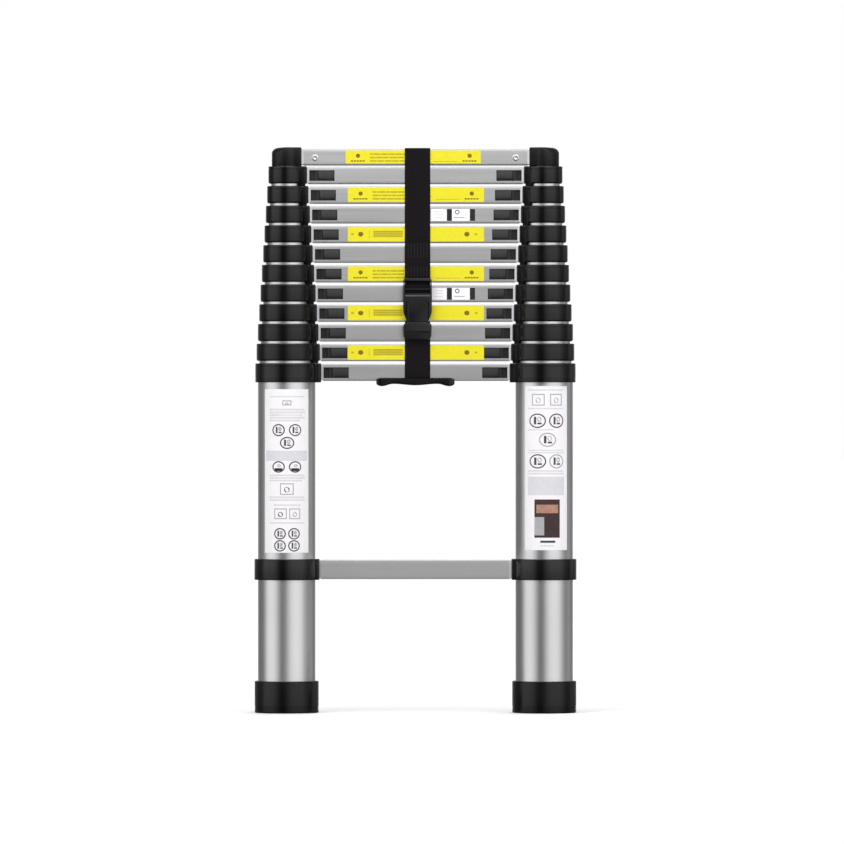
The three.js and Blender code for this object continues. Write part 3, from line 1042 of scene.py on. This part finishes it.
def yellow_label(k, with_dashes):
    """A plain yellow rung label: a dot at each end and rows of bars, or a block of them."""
    label = Label(flat_place(STILES[k]["z"]), YELLOW)
    top_one = k == SECTIONS
    start_u, end_u = (-106.8, 100.0) if top_one else (-103.5, 105.0)
    low, high = (-12.0, 8.0) if top_one else (-10.7, 11.5)
    middle_v = (low + high) / 2
    label.plate((start_u, end_u), (low, high), YELLOW, 0, FILM)
    if with_dashes:
        shift = 0 if top_one else 4
        for dot in (-88, 83) if top_one else (-84, 86.3):
            label.oval(dot, middle_v + 1.8, 3.3, 3.3, UMBER)
            for i in range(5):
                dash = dot - 11 + i * 4.5
                label.plate((dash, dash + 3.4), (middle_v - 7.4, middle_v - 5.2), UMBER)
        for row in (4.2, -1.0, -6.2):
            start = -69.6 + shift
            while start < -20.0 + shift:
                width = 7.2 + 3.4 * math.sin(start * 1.7 + row)
                label.plate((start, start + width), (middle_v + row - 1.2, middle_v + row + 1.2), OLIVE)
                start += width + 0.9
        label.plate((27 + shift, 64 + shift), (middle_v - 7.4, middle_v - 6.6), OLIVE)
    else:
        for dot in (-83.8, 78.8):
            label.oval(dot, middle_v, 4.0, 3.6, UMBER)
        for mark in (-96.4, 93.0):
            label.plate((mark - 2, mark + 2), (middle_v - 1.4, middle_v + 1.4), OLIVE)
        label.plate((-70.9, -70.2), (middle_v - 6, middle_v + 6), OLIVE)
        for top in (5.7, 2.3, -1.1):
            label.plate((-64.4, -19.5), (top - 2.8, top), OLIVE)
    node = "top_section" if top_one else f"rung_{k:02d}"
    label.done(f"label_yellow_{k:02d}", node)


def white_label(k):
    """A white rung label with two black bars and a plain ring."""
    label = Label(flat_place(STILES[k]["z"]), WHITE)
    label.plate((23.5, 91.5), (-9.5, 8.9), WHITE, 0, FILM)
    for start, end in ((48.1, 55.9), (83.3, 91.4)):
        label.plate((start, end), (-9.4, 8.8), INK)
    label.oval(64, 4, 3.5, 3.5, DARK, rim=1.3)
    label.lines((59, 76), -3.6, 1, 4.0, GREY)
    label.lines((29, 42), 5.0, 3, 4.4, PALE)
    label.done(f"label_white_{k:02d}", f"rung_{k:02d}")


def round_sign(label, u, v, radius_u, radius_v, style):
    """A round mark without a picture: a ring round a few plain shapes."""
    label.oval(u, v, radius_u, radius_v, GREY if style == "light" else DARK, rim=1.9)
    if style == "half":
        half = radius_u * 0.62
        label.plate((u - half, u + half), (v - radius_v * 0.72, v - radius_v * 0.22), INK)
        label.oval(u + 0.8, v + radius_v * 0.22, radius_u * 0.3, radius_v * 0.26, GREY)
        return
    label.plate((u - radius_u * 0.42, u - radius_u * 0.14), (v - radius_v * 0.5, v + radius_v * 0.55), DARK)
    label.oval(u + radius_u * 0.22, v + radius_v * 0.2, radius_u * 0.26, radius_v * 0.36, GREY)
    label.plate((u, u + radius_u * 0.5), (v - radius_v * 0.5, v - radius_v * 0.26), DARK)


def square_sign(label, u, v, half_u, half_v, inner):
    for edge in (-1, 1):
        at_u = u + edge * (half_u - 0.8)
        at_v = v + edge * (half_v - 0.8)
        label.plate((at_u - 0.8, at_u + 0.8), (v - half_v, v + half_v), GREY)
        label.plate((u - half_u + 1.7, u + half_u - 1.7), (at_v - 0.8, at_v + 0.8), GREY)
    label.oval(u, v - 1.0, half_u * 0.4, half_v * 0.46, inner)


def left_label():
    label = Label(round_place(-1, STILES[1]["tube"]), WHITE)
    label.plate((-37, 38.2), (245.4, 495.6), WHITE, 0, FILM)
    text = (-27, 31)
    label.lines(text, 485, 1, 4.0, PALE, 1.8)
    square_sign(label, 0.9, 474.6, 7.0, 3.9, GREY)
    label.lines(text, 465.7, 5, 4.2, PALE, 2.6)
    for u in (-12.1, 13.9):
        round_sign(label, u, 433, 10.0, 9.3, "dark")
    round_sign(label, 1.3, 413.4, 11.1, 9.3, "dark")
    label.plate((-34, 35), (386, 401.6), PALE)
    for u in (-12.1, 13.9):
        round_sign(label, u, 376.7, 10.0, 8.8, "half")
    label.lines(text, 365, 3, 4.0, PALE, 2.4)
    square_sign(label, 0.9, 342.8, 10.6, 8.9, INK)
    label.lines(text, 331.5, 2, 4.2, PALE, 2.4)
    label.lines((-20, 24), 319.4, 1, 4.2, PALE, 2.2)
    square_sign(label, -9.0, 305.0, 9.9, 8.2, INK)
    square_sign(label, 13.2, 305.0, 8.8, 8.2, GREY)
    label.lines(text, 292, 1, 4.2, PALE, 2.0)
    for u in (-9.8, 12.1):
        for v in (274.5, 256.0):
            round_sign(label, u, v, 9.3, 8.8, "dark")
    label.done("label_frame_left", "stile_01_left")


def right_label():
    label = Label(round_place(1, STILES[1]["tube"]), WHITE)
    label.plate((-32.5, 39.5), (249.5, 500.4), WHITE, 0, FILM)
    text = (-26.6, 32.4)
    label.lines(text, 495.4, 1, 4.0, PALE, 2.0)
    square_sign(label, -9.8, 479.4, 10.0, 9.0, GREY)
    square_sign(label, 18.2, 479.4, 9.8, 9.0, GREY)
    label.lines(text, 467, 1, 4.0, PALE, 2.0)
    round_sign(label, -11.1, 447.3, 13.2, 11.1, "dark")
    round_sign(label, 19.0, 447.3, 12.2, 11.1, "dark")
    label.lines((-26.6, 15.4), 434.4, 1, 4.0, PALE, 1.8)
    round_sign(label, 4.7, 418.2, 13.5, 10.9, "light")
    label.lines(text, 403, 2, 3.6, PALE, 1.8)
    round_sign(label, -10.7, 385.2, 13.2, 11.0, "dark")
    round_sign(label, 19.0, 385.2, 12.0, 11.0, "light")
    label.lines(text, 371.6, 2, 4.0, PALE, 2.2)
    label.plate((-26.6, 32.4), (333.4, 361.7), PALE)
    label.plate((-15.8, 24.4), (268.4, 327), BROWN)
    label.plate((-12.6, 21.4), (306, 319), TAN, FILM + MARK)
    label.plate((-15.8, -0.6), (272, 300), GREY, FILM + MARK)
    label.lines((-6.6, 17.4), 264, 1, 4.0, DARK, 3.4)
    label.lines((-6.6, 15.4), 257, 1, 4.0, PALE, 2.0)
    label.done("label_frame_right", "stile_01_right")


# ---- studio


def studio_world():
    """Two tall soft lights in front, dim sides and a soft light behind, as a gradient round the object.
    The camera sees plain white behind the object."""
    world = bpy.data.worlds.new("studio")
    bpy.context.scene.world = world
    world.use_nodes = True
    tree = world.node_tree
    tree.nodes.clear()

    def calculate(operation, *values):
        return add_node(tree, "Math", dict(enumerate(values)), operation=operation).outputs[0]

    def brightness(where, stops):
        """A colour ramp through (place from 0 to 1, brightness) stops."""
        node = add_node(tree, "ValToRGB", {"Fac": where})
        elements = node.color_ramp.elements
        while len(elements) < len(stops):
            elements.new(0.5)
        for element, (place, value) in zip(elements, stops):
            element.position = place
            element.color = (value, value, value, 1)
        return node.outputs["Color"]

    towards = add_node(tree, "TexCoord", {}).outputs["Generated"]
    split = add_node(tree, "SeparateXYZ", {0: towards}).outputs
    azimuth = calculate("ARCTAN2", split["X"], calculate("MULTIPLY", split["Y"], -1.0))
    lobes = [
        (-180, 0.48), (-160, 0.48), (-148, 0.2), (-105, 0.14), (-92, 0.5), (-84, 1.06), (-48, 1.06),
        (-32, 0.5), (-24, 0.1), (-6, 0.08), (8, 0.7), (24, 1.06), (60, 1.06), (78, 0.45),
        (98, 0.14), (116, 0.5), (128, 0.2), (148, 0.2), (160, 0.48), (180, 0.48),
    ]
    around = calculate("MULTIPLY_ADD", azimuth, 1 / FULL_TURN, 0.5)
    round_light = brightness(around, [((a + 180) / 360, v) for a, v in lobes])
    heights = [
        (-1.0, 0.30), (-0.5, 0.42), (-0.15, 0.72), (0.0, 0.95), (0.08, 1.1),
        (0.3, 1.12), (0.6, 0.9), (0.85, 0.8), (1.0, 0.8),
    ]
    rise = calculate("MULTIPLY_ADD", split["Z"], 0.5, 0.5)
    height_light = brightness(rise, [((z + 1) / 2, v) for z, v in heights])
    level = calculate("MULTIPLY", round_light, height_light)
    light = add_node(tree, "Background", {"Color": level, "Strength": 1.0}).outputs[0]
    backdrop = add_node(tree, "Background", {"Color": (1, 1, 1, 1)}).outputs[0]
    seen = add_node(tree, "LightPath", {}).outputs["Is Camera Ray"]
    mixed = add_node(tree, "MixShader", {0: seen, 1: light, 2: backdrop}).outputs[0]
    add_node(tree, "OutputWorld", {"Surface": mixed})


def aim(lamp, towards):
    lamp.rotation_mode = "QUATERNION"
    lamp.rotation_quaternion = towards.to_track_quat("Z", "Y")


def soft_lamp(name, strength, elevation, azimuth, spread):
    """A broad far lamp that lights matt surfaces only. The gradient world makes the reflections."""
    data = bpy.data.lights.new(name, "SUN")
    data.energy = strength
    data.angle = math.radians(spread)
    lamp = add_object(name, data)
    e, a = math.radians(elevation), math.radians(azimuth)
    aim(lamp, Vector((math.sin(a) * math.cos(e), -math.cos(a) * math.cos(e), math.sin(e))))
    lamp.visible_glossy = False


def near_softbox():
    """A soft lamp close above the front, which brightens the upper rungs more than the lower ones."""
    data = bpy.data.lights.new("near_softbox", "AREA")
    data.shape = "RECTANGLE"
    data.size = 1.8
    data.size_y = 0.7
    data.energy = 9.5
    lamp = add_object("near_softbox", data)
    lamp.location = (0, -1.15, 1.55)
    aim(lamp, lamp.location - Vector((0, 0, 0.75)))
    lamp.visible_camera = False


FLOOR_REACH = 90.0


def floor():
    """A wide pale floor with a faint mottle."""
    bm = bmesh.new()
    corners = ((-1, -1), (1, -1), (1, 1), (-1, 1))
    bm.faces.new([bm.verts.new((x * FLOOR_REACH, y * FLOOR_REACH, 0)) for x, y in corners])
    mesh = bpy.data.meshes.new("floor")
    bm.to_mesh(mesh)
    bm.free()
    finish = Finish("floor_paint", (0.88, 0.88, 0.88), 0.9)
    finish.colours(finish.noise((2, 2, 2), 2.0), (0.87, 0.87, 0.87), (0.89, 0.89, 0.89))
    finish.shader["Specular IOR Level"].default_value = 0.0
    mesh.materials.append(finish.material)
    made = add_object("floor", mesh)
    made.location.z = -0.0005
    made.visible_glossy = False


CAMERA_LENS = 389.3
CAMERA_PLACE = (0.01005, -14.0, 0.4454)


def camera():
    """A distant camera level with the stack's lower part, so that there is little perspective."""
    data = bpy.data.cameras.new("camera")
    data.lens = CAMERA_LENS
    data.sensor_width = 36.0
    data.clip_end = 500.0
    made = add_object("camera", data)
    made.location = CAMERA_PLACE
    made.rotation_euler = (math.radians(90), 0, 0)
    bpy.context.scene.camera = made


# ---- build

camera()
studio_world()
soft_lamp("key", 0.7, 38, -25, 40)
soft_lamp("fill", 1.0, 50, 150, 60)
soft_lamp("overhead", 1.0, 90, 0, 70)
near_softbox()
floor()

for number in range(1, SECTIONS + 1):
    for side_name in SIDES:
        tube(number, side_name)
for number in range(1, SECTIONS):
    sliding_rung(number)
    for side_name in SIDES:
        collar(number, side_name)
        recess_liner(number, side_name)
        thumb_slide(number, side_name)
fixed_rungs()
rivets()
for side_name in SIDES:
    cap(side_name)
    clamp(side_name)
    foot(side_name)
grip()
strap()
buckle_socket()
buckle_plug()
for number in (12, 10, 8, 6, 4, 2):
    yellow_label(number, number in (12, 10, 6))
for number in (9, 5):
    white_label(number)
left_label()
right_label()

bpy.context.scene.view_settings.view_transform = "Standard"
